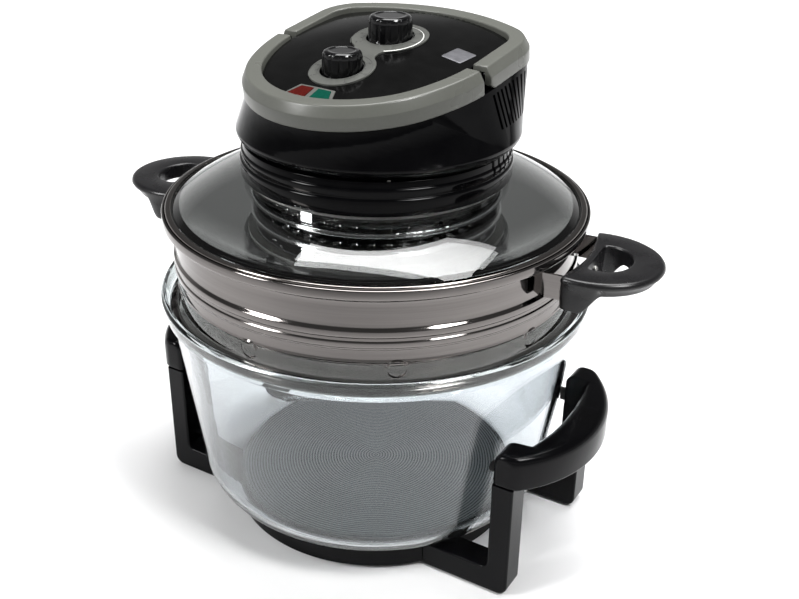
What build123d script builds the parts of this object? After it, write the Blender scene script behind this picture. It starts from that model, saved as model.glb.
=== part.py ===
from build123d import *
import os
from math import asin, cos, degrees, pi, radians, sin

# Halogen oven: a glass bowl in a moulded stand, a steel extender ring on the bowl, and a
# glass lid that carries the heater head. Millimetres, +Z up. The origin is on the floor,
# on the bowl's axis. The stand's bars run along X and the front of the oven faces -Y.

# ---- driving dimensions -------------------------------------------------------------
CLEAR = 0.3                  # gap between curved faces of pieces that move apart

RING_TURN = 5.0              # degrees that the extender ring is set down off the X axis
HEAD_TURN = -3.0             # degrees that the lid and head are set down off the X axis

# stand
BASE_R = 115.9
BASE_TOP_R = 114.0
BASE_INNER_R = 98.0
BASE_BOTTOM_Z = 4.0
BASE_TOP_Z = 21.5
LEG_BOTTOM_Z = 1.2
ARM_TOP_Z = 22.0
POST_OUTER_X = 160.2
POST_X = 17.0                # section of an upright along X
POST_Y = 22.0                # and along Y
BAR_Y = 73.8                 # outer face of a leg from the X axis
HANDLE_BOTTOM_Z = 97.0
HANDLE_TOP_Z = 124.0
BOW_OUT_X = 192.5
BOW_IN_X = 165.5
BOW_IN_R = 182.0
PAD_Y = 58.0                 # pegs that steady the bowl, and their height up a handle's end
PAD_UP = 6.0
PAD_R = 5.0

# glass bowl
BOWL_Z = 21.8
GLASS = 5.0
BOWL_SHOULDER_R = 158.5
BOWL_SHOULDER_Z = 180.0
BOWL_TAPER = 0.13            # radius lost per millimetre downwards
BOWL_CORNER_R = 34.0
LIP_R = 165.0
LIP_TOP_Z = 195.3
LEDGE_Z = 184.0
LIP_IN_R = 160.2

# extender ring
SHEET = 1.0
SKIRT_R = 150.0
BAND_R = 153.0
NECK_R = 151.0
ROLL_R = 159.3
RING_BOTTOM_Z = 184.2
RING_TOP_Z = 260.4
DIMPLES = 9

# ring grips
GRIP_TOP_Z = 248.0
GRIP_PLATE_Z = 236.0
GRIP_BOTTOM_Z = 224.0
GRIP_IN_X = 165.0
GRIP_CENTRE_X = 172.0
GRIP_REACH = 48.0
GRIP_HALF_Y = 45.0
STRAP_Y = 38.0
STRAP = 2.0
STRAP_BOTTOM_Z = 228.0
STRAP_TOP_Z = 246.0

# lid
LID_RIM_R = 156.8
LID_RIM_IN_R = 152.4
LID_RIM_Z = 254.0
LID_RIM_TOP_Z = 261.6
DOME_TOP_Z = 283.0
DOME_HOLE_R = 84.0
LID_GLASS = 4.0
CLAMP_SCREW_R = 78.0

# head: collar, housing and tilted top
COLLAR_R = 100.2
COLLAR_Z = 284.8
HOUSING_SCREW_R = 95.0
UPSTAND_R = 91.5             # the collar's inner wall that locates the housing
HOUSING_R = 104.2
HOUSING_Y = 3.0              # the housing's round base sits a little to the rear
HOUSING_Z = 309.0
HOUSING_WIDE_Z = 318.0
VENT_Z = 330.0
WALL = 2.5
TILT = 8.2                   # slope of the top, front low
TOP_Z = 355.0                # height of the deck on the axis
FRONT_Y = 100.5              # the top's outline, in its own plane
FRONT_R = 85.0
FRONT_SWEEP = 65.0
SIDE_X = 91.0                # the straight flanks
FLANK = 38.0
CORNER_R = 35.0
REAR_R = 158.0
TRIM_H = 9.7
TRIM_TOP_H = 16.9
TRIM_SLOPE = 3.7             # run of the trim's sloping upper edge
TRIM_W = 14.7
FRONT_CUT_Y = -2.5           # where the fixed front trim stops
SEAT_W = 19.5                # how far the deck reaches in under the panel
PANEL_H = 19.5               # crown of the panel above the deck
PANEL_R = 560.0
PANEL_Y = 12.0
PANEL_WALL = 2.5
PIVOT_Y = 12.4               # safety handle's hinge line in the top's plane
PIVOT_H = 7.8
END_R = 7.4
PIN_R = 2.0
PIN_IN_X = 77.0
PIN_END_X = 88.5
LUG_X = (81.5, 85.5)
PLUNGER_X = 83.5
PLUNGER_Y = 34.0
PLUNGER_R = 1.8

# knobs, on upright spindles
TIMER_Y = -41.0
TIMER_TOP_Z = 379.5
TIMER_KNOB_R = 14.6
THERMO_Y = 16.0
THERMO_TOP_Z = 393.0
THERMO_KNOB_R = 16.4
KNOB_H = 20.0
KNOB_TAPER = 0.5             # radius lost from bottom to top
WELL_GAP = 0.6
SPINDLE_R = 3.0
SPINDLE_DROP = 15.0
CASE_DROP = 4.0              # from a knob's underside down to its switch's top face
TIMER_BEZEL_R = 23.1
THERMO_BEZEL_R = 27.8
BEZEL = 1.0                  # thickness of the dial plate
LENS_Y = -74.0
LENS_D = 15.0

# heater and fan
GUARD_Z = 265.0
GUARD_R = 93.0
SHIELD_Z = 288.6             # underside of the collar's floor, where the reflector seats
SHIELD_R = 74.0
SHIELD = 0.8
SHIELD_SCREW_R = 40.0
TUBE_RING_R = 62.0
TUBE_R = 4.5
TUBE_Z = 275.5
SHAFT_R = 2.5
ROTOR_R = 13.0
STACK_Z = 298.0
STACK_H = 20.0
FLOOR_TOP_Z = 291.0          # upper side of the collar's floor, where the motor stands
FAN_Z = 272.0
COOLER_Z = 324.5
GLAND_Z = 330.0
GLAND_R = 6.0
GLAND_FLANGE_R = 8.5


# ---- helpers ------------------------------------------------------------------------
def at(x, y, z, **turn):
    """A place in space, with optional turns about X, Y and Z in degrees."""
    return Pos(x, y, z) * Rot(**turn)


def rounded(plane, *corners):
    """A face in a plane from corners (u, v) or (u, v, fillet radius)."""
    face = make_face(Polyline(*[c[:2] for c in corners], close=True))
    for corner in corners:
        if len(corner) == 3:
            spot = Vertex(corner[0], corner[1], 0)
            nearest = min(face.vertices(), key=lambda v: (v.center() - spot.center()).length)
            face = fillet(nearest, corner[2])
    return plane * face


def turned(*corners):
    """A solid of revolution about Z from corners (radius, height[, fillet])."""
    return revolve(rounded(Plane.XZ, *corners), Axis.Z)


def tube(outer, inner, z_low, z_high):
    """A plain ring about Z."""
    ring = Circle(outer) - Circle(inner)
    return extrude(Pos(0, 0, z_low) * ring, z_high - z_low)


def rod(radius, z_low, z_high):
    """A plain cylinder on Z."""
    return extrude(Pos(0, 0, z_low) * Circle(radius), z_high - z_low)


def block(x, y, z):
    """A box from three (low, high) pairs."""
    size = [high - low for low, high in (x, y, z)]
    centre = [(high + low) / 2 for low, high in (x, y, z)]
    return Pos(*centre) * Box(*size)


def screw(shank_r, length, head_r, head_h):
    """A pan-head screw along -Z, its head's underside at the origin."""
    head = extrude(Circle(head_r), head_h)
    head = fillet(head.edges().sort_by(Axis.Z)[-1], head_h * 0.4)
    slot = Box(head_r * 1.1, head_r * 0.28, head_h * 0.5)
    slot = Pos(0, 0, head_h) * slot + at(0, 0, head_h, Z=90) * slot
    return head - slot + extrude(Circle(shank_r), -length)


def round_about(count, shape, start=0.0):
    """The list of copies of a shape spaced evenly about Z."""
    return [Rot(Z=start + 360.0 * i / count) * shape for i in range(count)]


def screw_holes(count, ring_r, z_low, z_high, radius=1.3, start=0.0):
    """One solid of the holes for a circle of screws."""
    return Compound(children=round_about(count, Pos(ring_r, 0, 0) * rod(radius, z_low, z_high), start))


def save(name, shape, turn=0.0):
    """Write one node, turned about Z to where it is set down."""
    solids = shape if isinstance(shape, list) else [shape]
    placed = Compound(children=[s for part in solids for s in (Rot(Z=turn) * part).solids()])
    whole = placed.solids()[0] if len(placed.solids()) == 1 else placed
    export_step(whole, "parts/" + name + ".step")


# ---- stand --------------------------------------------------------------------------
LEG_SIDES = [("front_left", -1, -1), ("front_right", 1, -1), ("rear_left", -1, 1), ("rear_right", 1, 1)]
LEG_IN_X = POST_OUTER_X - POST_X
LEG_IN_Y = BAR_Y - POST_Y
LEG_MID_X = POST_OUTER_X - POST_X / 2
LEG_MID_Y = BAR_Y - POST_Y / 2
TONGUE_X = 78.0
TONGUE_SCREW = (90.0, LEG_MID_Y)


def base_ring():
    """The moulded ring under the bowl, hollow below, with a seat for the glass."""
    ring = turned(
        (BASE_R, BASE_BOTTOM_Z), (BASE_TOP_R, BASE_TOP_Z, 1.5), (BASE_TOP_R - 5, BASE_TOP_Z),
        (BASE_TOP_R - 5.5, BASE_TOP_Z - 0.2), (BASE_INNER_R, BASE_TOP_Z - 0.2, 1.0),
        (BASE_INNER_R, BASE_BOTTOM_Z),
    )
    ring += tube(BASE_TOP_R - 7, BASE_INNER_R + 3, BASE_TOP_Z - 0.6, BOWL_Z)
    ring -= tube(BASE_R - 4, BASE_INNER_R + 3, BASE_BOTTOM_Z - 1, BASE_TOP_Z - 4)
    for _, sx, sy in LEG_SIDES:
        boss = Pos(sx * TONGUE_SCREW[0], sy * TONGUE_SCREW[1], BASE_BOTTOM_Z)
        ring += boss * extrude(Circle(6.5), BASE_TOP_Z - 3.5 - BASE_BOTTOM_Z)
        ring -= boss * extrude(Circle(1.6), 12)
    return ring


def leg():
    """An L-shaped leg in the +X +Y corner: arm on the floor, upright and ring tongue."""
    side = rounded(
        Plane.XZ,
        (70, LEG_BOTTOM_Z), (POST_OUTER_X, LEG_BOTTOM_Z, 8.0), (POST_OUTER_X, HANDLE_BOTTOM_Z),
        (LEG_IN_X, HANDLE_BOTTOM_Z), (LEG_IN_X, ARM_TOP_Z, 5.0), (70, ARM_TOP_Z),
    )
    body = Pos(0, BAR_Y, 0) * extrude(side, POST_Y)
    body -= rod(BASE_R + 0.2, LEG_BOTTOM_Z - 1, ARM_TOP_Z + 1)
    spigot_z = (HANDLE_BOTTOM_Z, HANDLE_BOTTOM_Z + 8)
    spigot = block((LEG_IN_X + 4, POST_OUTER_X - 4), (LEG_IN_Y + 5, BAR_Y - 5), spigot_z)
    tongue = block((TONGUE_X, BASE_R), (LEG_IN_Y, BAR_Y), (LEG_BOTTOM_Z, BASE_BOTTOM_Z))
    body += spigot + tongue
    upright = [e for e in body.edges().filter_by(Axis.Z)
               if e.center().Z > 50 and e.center().Z < HANDLE_BOTTOM_Z and e.length > 40]
    body = fillet(upright, 2.0)
    body -= Pos(LEG_MID_X, LEG_MID_Y, LEG_BOTTOM_Z - 1) * extrude(Circle(4.2), 60)
    body -= Pos(LEG_MID_X, LEG_MID_Y, 0) * extrude(Circle(2.0), HANDLE_BOTTOM_Z + 9)
    body -= Pos(*TONGUE_SCREW, LEG_BOTTOM_Z - 1) * extrude(Circle(2.1), 6)
    body -= Pos(*TONGUE_SCREW, LEG_BOTTOM_Z - 1) * extrude(Circle(4.2), 2.5)
    body -= Pos(118, LEG_MID_Y, LEG_BOTTOM_Z - 1) * extrude(Circle(7.2), 4)
    return body


def mirrored(shape, sx, sy):
    """A copy in the corner given by the signs of X and Y."""
    if sx < 0:
        shape = mirror(shape, Plane.YZ)
    if sy < 0:
        shape = mirror(shape, Plane.XZ)
    return shape


def stand_handle():
    """The +X bow handle: a crescent in plan that caps the front and rear uprights."""
    chord = BAR_Y
    sag = BOW_OUT_X - POST_OUTER_X
    out_r = (chord * chord + sag * sag) / (2 * sag)
    outer = Pos(BOW_OUT_X - out_r, 0) * Circle(out_r)
    inner = Pos(BOW_IN_X - BOW_IN_R, 0) * Circle(BOW_IN_R)
    right = Pos(LEG_IN_X + 40, 0) * Rectangle(80, 2 * BAR_Y)
    crescent = (outer & right) - inner
    for sy in (-1, 1):
        cap = Pos(LEG_MID_X, sy * LEG_MID_Y) * Rectangle(POST_X, POST_Y)
        crescent += cap
    bow = extrude(Pos(0, 0, HANDLE_BOTTOM_Z) * crescent, HANDLE_TOP_Z - HANDLE_BOTTOM_Z)
    top = bow.faces().sort_by(Axis.Z)[-1]
    bow = fillet(top.edges(), 3.5)
    for sy in (-1, 1):
        bow -= block((LEG_IN_X + 3.9, POST_OUTER_X - 3.9),
                     sorted((sy * (LEG_IN_Y + 4.9), sy * (BAR_Y - 4.9))),
                     (HANDLE_BOTTOM_Z - 1, HANDLE_BOTTOM_Z + 8.2))
        bow -= Pos(LEG_MID_X, sy * LEG_MID_Y, HANDLE_BOTTOM_Z) * extrude(Circle(1.6), 19)
        peg_hole = Rot(Y=90) * extrude(Circle(2.6), 3, both=True)
        bow -= Pos(LEG_IN_X, sy * PAD_Y, HANDLE_BOTTOM_Z + PAD_UP) * peg_hole
    return bow


def bowl_pad():
    """A rubber-tipped peg that steadies the bowl, from the +X +Y handle end inwards."""
    wall_r = BOWL_SHOULDER_R - BOWL_TAPER * (BOWL_SHOULDER_Z - HANDLE_BOTTOM_Z - 9)
    end = Pos(LEG_IN_X, PAD_Y, HANDLE_BOTTOM_Z + PAD_UP) * Rot(Y=-90)
    head = end * extrude(Circle(PAD_R), 22) - rod(wall_r + 0.6, HANDLE_BOTTOM_Z - 5, HANDLE_BOTTOM_Z + 20)
    return head + end * extrude(Pos(0, 0, -3) * Circle(2.5), 5)


def foot():
    """A rubber foot pressed into a leg's underside."""
    return Pos(118, LEG_MID_Y, 0) * extrude(Circle(7.0), LEG_BOTTOM_Z + 2.8)


def make_stand():
    save("base_ring", base_ring())
    one_leg, one_pad, one_foot = leg(), bowl_pad(), foot()
    pads, feet, leg_screws, handle_screws = [], [], [], []
    under_screw = Rot(X=180) * screw(1.55, 11.5, 3.6, 1.4)
    long_screw = Rot(X=180) * screw(1.55, 54.0, 3.8, 2.4)
    for name, sx, sy in LEG_SIDES:
        save(name + "_leg", mirrored(one_leg, sx, sy))
        pads.append(mirrored(one_pad, sx, sy))
        feet.append(mirrored(one_foot, sx, sy))
        leg_screws.append(Pos(sx * TONGUE_SCREW[0], sy * TONGUE_SCREW[1], LEG_BOTTOM_Z + 1.5) * under_screw)
        handle_screws.append(Pos(sx * LEG_MID_X, sy * LEG_MID_Y, LEG_BOTTOM_Z + 59) * long_screw)
    right = stand_handle()
    save("right_stand_handle", right)
    save("left_stand_handle", mirror(right, Plane.YZ))
    save("bowl_pads", pads)
    save("feet", feet)
    save("leg_screws", leg_screws)
    save("handle_screws", handle_screws)


# ---- glass bowl ---------------------------------------------------------------------
def glass_bowl():
    """The bowl: flat floor, rounded corner, flared wall and a heavy lip with a ledge."""
    def wall_r(z):
        return BOWL_SHOULDER_R - BOWL_TAPER * (BOWL_SHOULDER_Z - z)
    floor_z = BOWL_Z + GLASS
    outside = turned(
        (0, BOWL_Z), (wall_r(BOWL_Z), BOWL_Z, BOWL_CORNER_R), (BOWL_SHOULDER_R, BOWL_SHOULDER_Z, 3.0),
        (LIP_R - 2.2, BOWL_SHOULDER_Z + 1.5, 1.5), (LIP_R, LIP_TOP_Z - 2.2, 1.8),
        (LIP_R - 2.0, LIP_TOP_Z, 1.6), (LIP_IN_R + 0.4, LIP_TOP_Z, 0.6),
        (LIP_IN_R, LEDGE_Z, 1.5), (wall_r(LEDGE_Z) - GLASS, LEDGE_Z), (0, LEDGE_Z),
    )
    inside = turned(
        (0, floor_z), (wall_r(floor_z) - GLASS, floor_z, BOWL_CORNER_R - GLASS),
        (wall_r(LEDGE_Z) - GLASS, LEDGE_Z), (wall_r(LEDGE_Z) - GLASS, LEDGE_Z + 1), (0, LEDGE_Z + 1),
    )
    return outside - inside


# ---- extender ring ------------------------------------------------------------------
def extender_ring():
    """The rolled steel ring that raises the lid, with bumps that centre it on the lip."""
    t = SHEET
    ring = turned(
        (157.5, RING_BOTTOM_Z), (157.5, RING_BOTTOM_Z + t), (SKIRT_R + 3, RING_BOTTOM_Z + t, 2.0),
        (SKIRT_R, 190.0, 3.0), (SKIRT_R, 212.0, 1.0), (BAND_R, 213.5, 1.0), (BAND_R, 228.5, 1.0),
        (NECK_R, 230.0, 1.0), (NECK_R, 249.0, 2.0), (ROLL_R, 253.4, 1.6), (ROLL_R, RING_TOP_Z - 0.6, 1.0),
        (157.6, RING_TOP_Z, 0.5), (157.4, RING_TOP_Z - 1.0), (157.4, 253.9, 0.6), (NECK_R - t, 250.6, 2.0),
        (NECK_R - t, 229.6, 0.8), (BAND_R - t, 228.1, 0.8), (BAND_R - t, 213.9, 0.8),
        (SKIRT_R - t, 212.4, 0.8), (SKIRT_R - t, 189.6, 2.0), (SKIRT_R + 2.4, RING_BOTTOM_Z, 1.0),
    )
    bump = Pos(SKIRT_R - t / 2, 0, 199.3) * Rot(Y=90) * extrude(Circle(7.2), 3.0, taper=38)
    for copy in round_about(DIMPLES, bump, start=-12.5 - RING_TURN):
        ring += copy
    return ring


def strap():
    """The U-shaped steel strap that joins the +X grip to the ring's wall."""
    z = (STRAP_BOTTOM_Z, STRAP_TOP_Z)
    web = block((GRIP_IN_X + 2, GRIP_IN_X + 2 + STRAP), (-STRAP_Y, STRAP_Y), z)
    whole = web
    for side in (-1, 1):
        whole += block((140, GRIP_IN_X + 2 + STRAP), sorted((side * STRAP_Y, side * (STRAP_Y - STRAP))), z)
    corners = whole.edges().filter_by(Axis.Z).sort_by(Axis.X)[-2:]
    whole = fillet(corners, 3.0)
    whole -= rod(NECK_R, STRAP_BOTTOM_Z - 1, STRAP_TOP_Z + 1)
    whole -= rod(BAND_R + 0.1, STRAP_BOTTOM_Z - 1, 230.2)
    whole -= Pos(GRIP_IN_X, 0, 238) * Rot(Y=90) * extrude(Circle(1.7), 8)
    return whole


def grip():
    """The moulded +X grip: a loop plate with a deep root and a finger hole."""
    outline = Pos(GRIP_CENTRE_X, 0) * Ellipse(GRIP_REACH, GRIP_HALF_Y)
    outline -= Circle(GRIP_IN_X)
    body = extrude(Pos(0, 0, GRIP_BOTTOM_Z) * outline, GRIP_TOP_Z - GRIP_BOTTOM_Z)
    side = rounded(
        Plane.XZ,
        (140, GRIP_BOTTOM_Z), (175, GRIP_BOTTOM_Z, 4.0), (186, GRIP_PLATE_Z, 8.0), (230, GRIP_PLATE_Z),
        (230, GRIP_TOP_Z), (140, GRIP_TOP_Z),
    )
    body &= extrude(side, 60, both=True)
    body = body.solids().sort_by(Axis.X)[-1]
    body = chamfer(body.faces().sort_by(Axis.Z)[-1].edges(), 1.4)
    hole = Pos(178.0, 0) * Ellipse(19.5, 21.5) & Pos(193.5, 0) * Rectangle(44, 50)
    body -= extrude(Pos(0, 0, GRIP_BOTTOM_Z - 1) * hole, 40)
    body -= Pos(GRIP_IN_X - 2, 0, 238) * Rot(Y=90) * extrude(Circle(1.6), 14)
    return body - strap()


def grip_screw():
    """The screw that draws the grip onto the strap, its head inside the finger hole."""
    return Pos(171.5, 0, 238) * Rot(Y=90) * screw(1.5, 7.0, 3.0, 1.6)


def make_extender():
    save("extender_ring", extender_ring(), RING_TURN)
    one_strap, one_grip, one_screw = strap(), grip(), grip_screw()
    save("right_grip_strap", one_strap, RING_TURN)
    save("left_grip_strap", one_strap, RING_TURN + 180)
    save("right_grip", one_grip, RING_TURN)
    save("left_grip", one_grip, RING_TURN + 180)
    save("grip_screws", [one_screw, Rot(Z=180) * one_screw], RING_TURN)


# ---- lid ----------------------------------------------------------------------------
def lid_rim():
    """The steel channel rolled round the edge of the lid's glass."""
    return turned(
        (LID_RIM_R, LID_RIM_Z, 1.2), (LID_RIM_R, LID_RIM_TOP_Z, 1.2), (LID_RIM_IN_R, LID_RIM_TOP_Z, 0.5),
        (LID_RIM_IN_R, LID_RIM_TOP_Z - 0.9), (LID_RIM_R - 1, LID_RIM_TOP_Z - 0.9, 0.5),
        (LID_RIM_R - 1, LID_RIM_TOP_Z - 0.9 - LID_GLASS, 0.3),
        (LID_RIM_IN_R, LID_RIM_TOP_Z - 0.9 - LID_GLASS),
        (LID_RIM_IN_R, LID_RIM_Z),
    )


def lid_glass():
    """The domed glass annulus between the steel rim and the head's collar."""
    edge_r = LID_RIM_R - 1.2
    top = LID_RIM_TOP_Z - 1.0
    low = top - LID_GLASS + 0.2
    mid_r = 122.0
    mid_z = 275.6
    bend_r = LID_RIM_IN_R - 1.5
    hole_z = DOME_TOP_Z - LID_GLASS
    profile = Polyline((edge_r, low), (edge_r, top), (bend_r, top))
    profile += ThreePointArc((bend_r, top), (mid_r, mid_z), (DOME_HOLE_R, DOME_TOP_Z))
    profile += Line((DOME_HOLE_R, DOME_TOP_Z), (DOME_HOLE_R, hole_z))
    profile += ThreePointArc((DOME_HOLE_R, hole_z), (mid_r, mid_z - LID_GLASS), (bend_r, low))
    profile += Line((bend_r, low), (edge_r, low))
    return revolve(Plane.XZ * make_face(profile), Axis.Z)


def glass_clamp_ring():
    """The steel ring that clamps the glass's inner edge up to the collar's floor."""
    ring = turned(
        (SHIELD_R + 1, SHIELD_Z), (SHIELD_R + 1, SHIELD_Z - 1.2), (DOME_HOLE_R - 3, SHIELD_Z - 1.2, 0.6),
        (DOME_HOLE_R - 3, 276.5), (DOME_HOLE_R + 6, 276.5, 0.5), (DOME_HOLE_R + 6, 278.0),
        (DOME_HOLE_R - 0.6, 278.9), (DOME_HOLE_R - 0.6, SHIELD_Z),
    )
    return ring - screw_holes(6, CLAMP_SCREW_R, SHIELD_Z - 5, SHIELD_Z + 1)


def collar_gasket():
    """The silicone ring between the glass and the collar's flat underside."""
    ring = tube(COLLAR_R - 4, DOME_HOLE_R + 3, DOME_TOP_Z - 5, COLLAR_Z)
    return (ring - lid_glass()).solids().sort_by(Axis.Z)[-1]


def make_lid():
    save("lid_rim", lid_rim())
    save("lid_glass", lid_glass())
    save("glass_clamp_ring", glass_clamp_ring(), HEAD_TURN)
    save("collar_gasket", collar_gasket())


# ---- head shells --------------------------------------------------------------------
KNOBS = {
    "timer": (TIMER_Y, TIMER_TOP_Z, TIMER_KNOB_R),
    "thermostat": (THERMO_Y, THERMO_TOP_Z, THERMO_KNOB_R),
}
TOP = Plane(origin=(0, 0, TOP_Z), x_dir=(1, 0, 0), z_dir=(0, -sin(radians(TILT)), cos(radians(TILT))))


def top_outline(inset=0.0):
    """The top's egg-shaped outline, of tangent arcs, drawn in the XY plane."""
    sweep = radians(FRONT_SWEEP)
    side_r = (SIDE_X - FRONT_R * sin(sweep)) / (1 - sin(sweep))
    rear_half = degrees(asin((SIDE_X - CORNER_R) / (REAR_R - CORNER_R)))
    front = JernArc((0, -FRONT_Y), (1, 0), FRONT_R, FRONT_SWEEP)
    side = JernArc(front @ 1, front % 1, side_r, 90 - FRONT_SWEEP)
    flank = Line(side @ 1, side @ 1 + (0, FLANK))
    corner = JernArc(flank @ 1, flank % 1, CORNER_R, 90 - rear_half)
    rear = JernArc(corner @ 1, corner % 1, REAR_R, rear_half)
    half = make_face(front + side + flank + corner + rear + Line(rear @ 1, (0, -FRONT_Y)))
    whole = half + mirror(half, Plane.YZ)
    return offset(whole, -inset) if inset else whole


def on_top(shape):
    """Place a shape drawn on XY onto the tilted top, its Z along the top's normal."""
    return TOP.location * shape


def shell_form(inset, drop):
    """The housing's form: round below, rising to the egg-shaped tilted deck."""
    low = Pos(0, HOUSING_Y, HOUSING_WIDE_Z) * Circle(HOUSING_R - inset)
    high = on_top(Pos(0, 0, -drop) * top_outline(1.0 + inset))
    return loft([low.face(), high.face()])


def housing():
    """The glossy outer casing: flared wall, rounded foot, deck, lugs and vent slots."""
    foot = Pos(0, HOUSING_Y, 0) * turned(
        (0, HOUSING_Z), (HOUSING_R - 6.5, HOUSING_Z, 1.5), (HOUSING_R, HOUSING_WIDE_Z - 3.5, 6.0),
        (HOUSING_R, HOUSING_WIDE_Z), (0, HOUSING_WIDE_Z),
    )
    body = shell_form(0, 0) + foot - shell_form(WALL, WALL)
    body -= Pos(0, HOUSING_Y, 0) * rod(HOUSING_R - 6.0, HOUSING_Z + WALL, HOUSING_WIDE_Z + 0.1)
    body -= rod(UPSTAND_R + CLEAR, HOUSING_Z - 1, HOUSING_WIDE_Z + 1)
    body -= on_top(Pos(0, 0, -WALL - 1) * extrude(top_outline(SEAT_W), WALL + 2))
    for step in [i for i in range(54) if abs(i - 26.5) > 3]:
        angle = 3 + step * (177 - 3) / 53
        reach = TOP_Z - 3 + HOUSING_R * sin(radians(angle)) * sin(radians(TILT))
        body -= Pos(0, HOUSING_Y, 0) * Rot(Z=angle) * block((75, 120), (-1.3, 1.3), (VENT_Z, reach))
    body -= Pos(0, 80, GLAND_Z) * Rot(X=-90) * extrude(Circle(GLAND_R), 60)
    body -= screw_holes(4, HOUSING_SCREW_R, HOUSING_Z - 1, HOUSING_Z + WALL, 1.5, 40)
    for side in (-1, 1):
        lug_x = sorted((side * LUG_X[0], side * LUG_X[1]))
        stem = block(lug_x, (PIVOT_Y - 4.5, PIVOT_Y + 4.5), (-1.0, PIVOT_H))
        eye = Pos(side * sum(LUG_X) / 2, PIVOT_Y, PIVOT_H) * Rot(Y=90) * Cylinder(4.5, LUG_X[1] - LUG_X[0])
        body += on_top(stem + eye)
    body -= on_top(Pos(0, PIVOT_Y, PIVOT_H) * Rot(Y=90) * Cylinder(PIN_R, 2 * SIDE_X))
    return body - on_top(Pos(PLUNGER_X, PLUNGER_Y, -WALL - 1) * extrude(Circle(PLUNGER_R + 0.2), WALL + 3))


def trim_form():
    """The trim's solid ring section all round the top, with its sloping upper edge."""
    band = extrude(top_outline(), TRIM_H)
    edge = Pos(0, 0, TRIM_H) * top_outline()
    crest = Pos(0, 0, TRIM_TOP_H) * top_outline(TRIM_SLOPE)
    ring = band + loft([edge.face(), crest.face()])
    return ring - Pos(0, 0, -1) * extrude(top_outline(TRIM_W), TRIM_TOP_H + 2)


def front_trim():
    """The fixed front half of the grey trim, which stops short of the hinges."""
    return on_top(trim_form() & block((-200, 200), (-200, FRONT_CUT_Y), (0, 40)))


def safety_handle():
    """The swinging rear half of the trim: the lid's lifting handle and safety lever."""
    ring = trim_form()
    knuckle = Pos(0, PIVOT_Y, PIVOT_H) * Rot(Y=90) * Cylinder(END_R, 3 * SIDE_X)
    reach = block((-200, 200), (PIVOT_Y, 200), (0.4, 40))
    reach += knuckle + block((-200, 200), (PIVOT_Y - END_R, PIVOT_Y), (PIVOT_H, 40))
    body = ring & reach
    for side in (-1, 1):
        slot_x = sorted((side * (LUG_X[0] - 0.4), side * (LUG_X[1] + 0.4)))
        body -= block(slot_x, (PIVOT_Y - 20, PIVOT_Y + 5.2), (-1, PIVOT_H + 5.2))
    bore = Pos(0, PIVOT_Y, PIVOT_H) * Rot(Y=90) * Cylinder(PIN_R + 0.06, 2 * PIN_END_X + 1)
    return on_top(body - bore)


def hinge_pins():
    """Two pins pressed into the housing's lugs that carry the safety handle."""
    pin = extrude(Circle(PIN_R), PIN_END_X - PIN_IN_X)
    return [on_top(Pos(side * PIN_IN_X, PIVOT_Y, PIVOT_H) * Rot(Y=90 * side) * pin) for side in (-1, 1)]


def dome(height):
    """The ball whose cap is the panel's crown, raised by height."""
    return Pos(0, PANEL_Y, PANEL_H + height - PANEL_R) * Sphere(PANEL_R)


def crown(y, x=0.0):
    """Height of the panel's surface above the deck."""
    return PANEL_H - (x * x + (y - PANEL_Y) ** 2) / (2 * PANEL_R)


def control_panel():
    """The crowned gloss panel, with knob wells, a lens window and rear vent notches."""
    edge = TRIM_W + 0.9
    solid = extrude(top_outline(edge), 30) & dome(0)
    hollow = Pos(0, 0, -1) * extrude(top_outline(edge + PANEL_WALL), 30) & dome(-PANEL_WALL)
    sheet = solid - hollow
    rear = top_outline(edge).bounding_box().max.Y
    for i in range(-8, 9):
        x = 5.2 * i
        sheet -= Pos(x, rear - x * x / (2 * REAR_R), crown(rear)) * Box(2.6, 3.6, 8)
    sheet = on_top(sheet - lens_frame(0.1))
    ball = on_top(dome(0))
    for y, top_z, knob_r in KNOBS.values():
        floor_z = top_z - KNOB_H - CASE_DROP
        sheet += Pos(0, y, 0) * rod(knob_r + WELL_GAP + 2, floor_z, top_z) & ball
        sheet -= Pos(0, y, 0) * rod(knob_r + WELL_GAP, floor_z + 2.5, top_z)
        sheet -= Pos(0, y, 0) * rod(SPINDLE_R + 1.6, floor_z - 1, top_z)
    return sheet


def lens_frame(grow=0.0):
    """The column of the lenses' bezel, in the deck's frame: wider towards the front."""
    w_front, w_rear, d = 20.5 + grow, 14.5 + grow, LENS_D / 2 + grow
    face = make_face(Polyline((-w_front, -d), (w_front, -d), (w_rear, d), (-w_rear, d), close=True))
    return extrude(Pos(0, LENS_Y, crown(LENS_Y) - 4) * face, 12)


def lens_column(side, gap=0.0):
    """One lens's column: its inner side is nearly square and its outer side leans out."""
    d = LENS_D / 2 - 1.8 - gap
    inner, outer_front, outer_rear = 1.9 + gap, 17.6 - gap, 12.4 - gap
    points = [(side * inner, -d), (side * outer_front, -d), (side * outer_rear, d), (side * inner, d)]
    return extrude(Pos(0, LENS_Y, crown(LENS_Y) - 4) * make_face(Polyline(*points, close=True)), 12)


def indicator_bezel():
    """The light surround of the two indicator lenses, following the crown."""
    return on_top((lens_frame() & dome(0.6)) - lens_column(-1) - lens_column(1))


def lens(side):
    """One indicator lens, slightly proud of its frame."""
    return on_top(lens_column(side, 0.1) & dome(1.0))


def neon_lamp(side):
    """The neon capsule that lights one lens from below."""
    bulb = Pos(side * 8.0, LENS_Y, crown(LENS_Y) - 12) * extrude(Circle(2.8), 8)
    return on_top(fillet(bulb.edges().sort_by(Axis.Z)[0], 2.2))


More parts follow.
